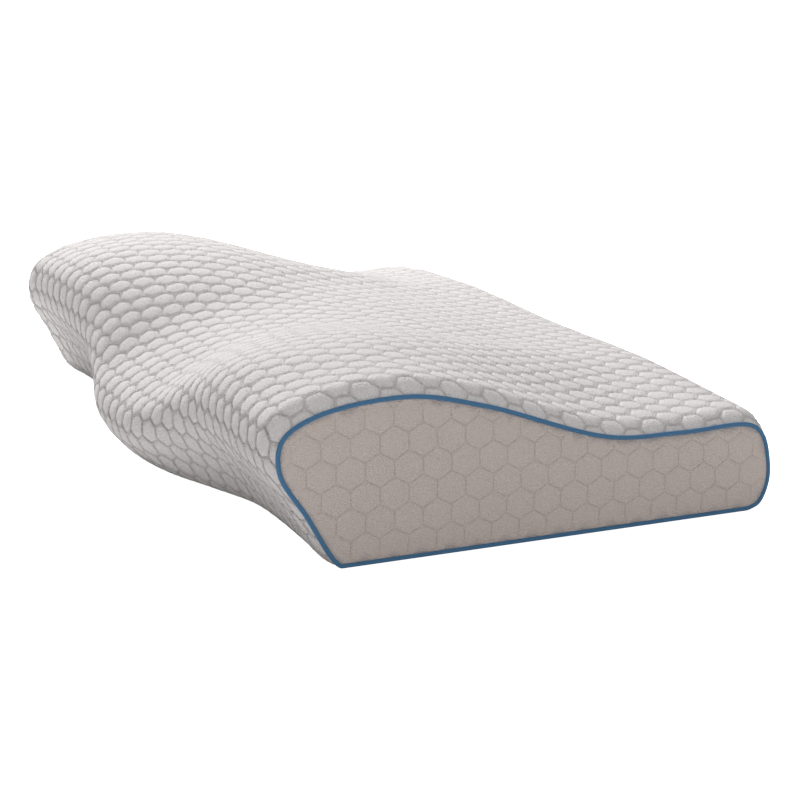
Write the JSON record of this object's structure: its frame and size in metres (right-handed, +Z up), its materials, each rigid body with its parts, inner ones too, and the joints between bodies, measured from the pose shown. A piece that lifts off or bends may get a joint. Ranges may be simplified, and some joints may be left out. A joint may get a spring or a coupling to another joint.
{
  "type": "cervical pillow",
  "caption": "Contoured neck pillow in a hexagon-blister knit cover, with high front wings, a head hollow and piped end panels",
  "frame": {"origin": "on the floor under the middle of the overall box", "axes": "+X along the pillow's length towards its right end, +Y from the neck side to the low back side, +Z up"},
  "size_m": [0.6173, 0.4025, 0.1301],
  "materials": {
    "cover_knit": "matte",
    "panel_knit": "matte",
    "piping_cord": "satin"
  },
  "bodies": {
    "root": {"filled_cover": "cover_knit", "end_panel_right": "panel_knit", "end_panel_left": "panel_knit", "piping_right": "piping_cord", "piping_left": "piping_cord"}
  },
  "joints": []
}
